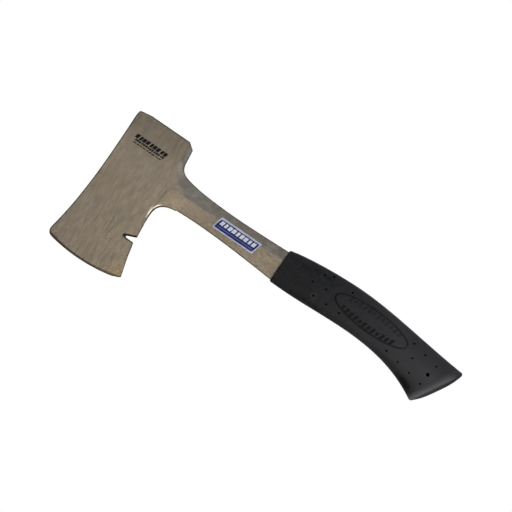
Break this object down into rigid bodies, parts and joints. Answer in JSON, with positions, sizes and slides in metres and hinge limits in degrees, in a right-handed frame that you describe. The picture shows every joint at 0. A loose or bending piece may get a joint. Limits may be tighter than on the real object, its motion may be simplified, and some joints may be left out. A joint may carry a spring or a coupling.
{
  "type": "solid steel hatchet",
  "caption": "One-piece steel hatchet with a curved cutting edge, flat poll, nail slot under the blade and a moulded rubber cushion grip.",
  "frame": {"origin": "centre of the flat poll face", "axes": "+X out of the poll, away from the cutting edge; +Z along the handle, from the butt towards the top of the head; +Y across the thickness, away from the labelled side"},
  "size_m": [0.1336, 0.026, 0.3553],
  "materials": {
    "forged_steel": "ground and lacquered, fine grain running from poll to edge",
    "grip_rubber": "moulded, slightly glossy",
    "label_silver": "silver film",
    "label_blue": "printed ink",
    "label_white": "printed ink",
    "mark_ink": "dark etched ink"
  },
  "bodies": {
    "root": {"forged_body": "forged_steel", "cushion_grip": "grip_rubber", "label_film": "label_silver", "label_panel": "label_blue", "label_stripes": "label_white", "cheek_mark": "mark_ink"}
  },
  "joints": []
}
